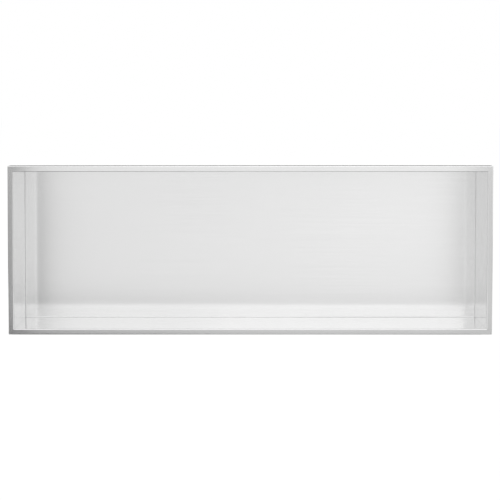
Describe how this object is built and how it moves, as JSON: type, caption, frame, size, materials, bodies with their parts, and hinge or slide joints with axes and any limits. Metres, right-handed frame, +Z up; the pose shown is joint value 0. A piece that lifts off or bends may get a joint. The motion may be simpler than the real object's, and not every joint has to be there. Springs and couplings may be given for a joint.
{
  "type": "shower niche insert",
  "caption": "Long, shallow wall niche folded from stainless steel sheet, with a narrow mitred rim and a return edge round its mouth, built into a shower wall to hold bottles.",
  "frame": {"origin": "centre of the back panel's outer face, which is set against the bottom of the recess in the wall", "axes": "+X along the niche, to the right seen from the front; +Y into the wall, away from the mouth; +Z up"},
  "size_m": [0.922, 0.1, 0.322],
  "materials": {
    "steel": "satin brushed stainless steel, welds ground flush and brushed over"
  },
  "bodies": {
    "root": {"niche_body": "steel"}
  },
  "joints": []
}
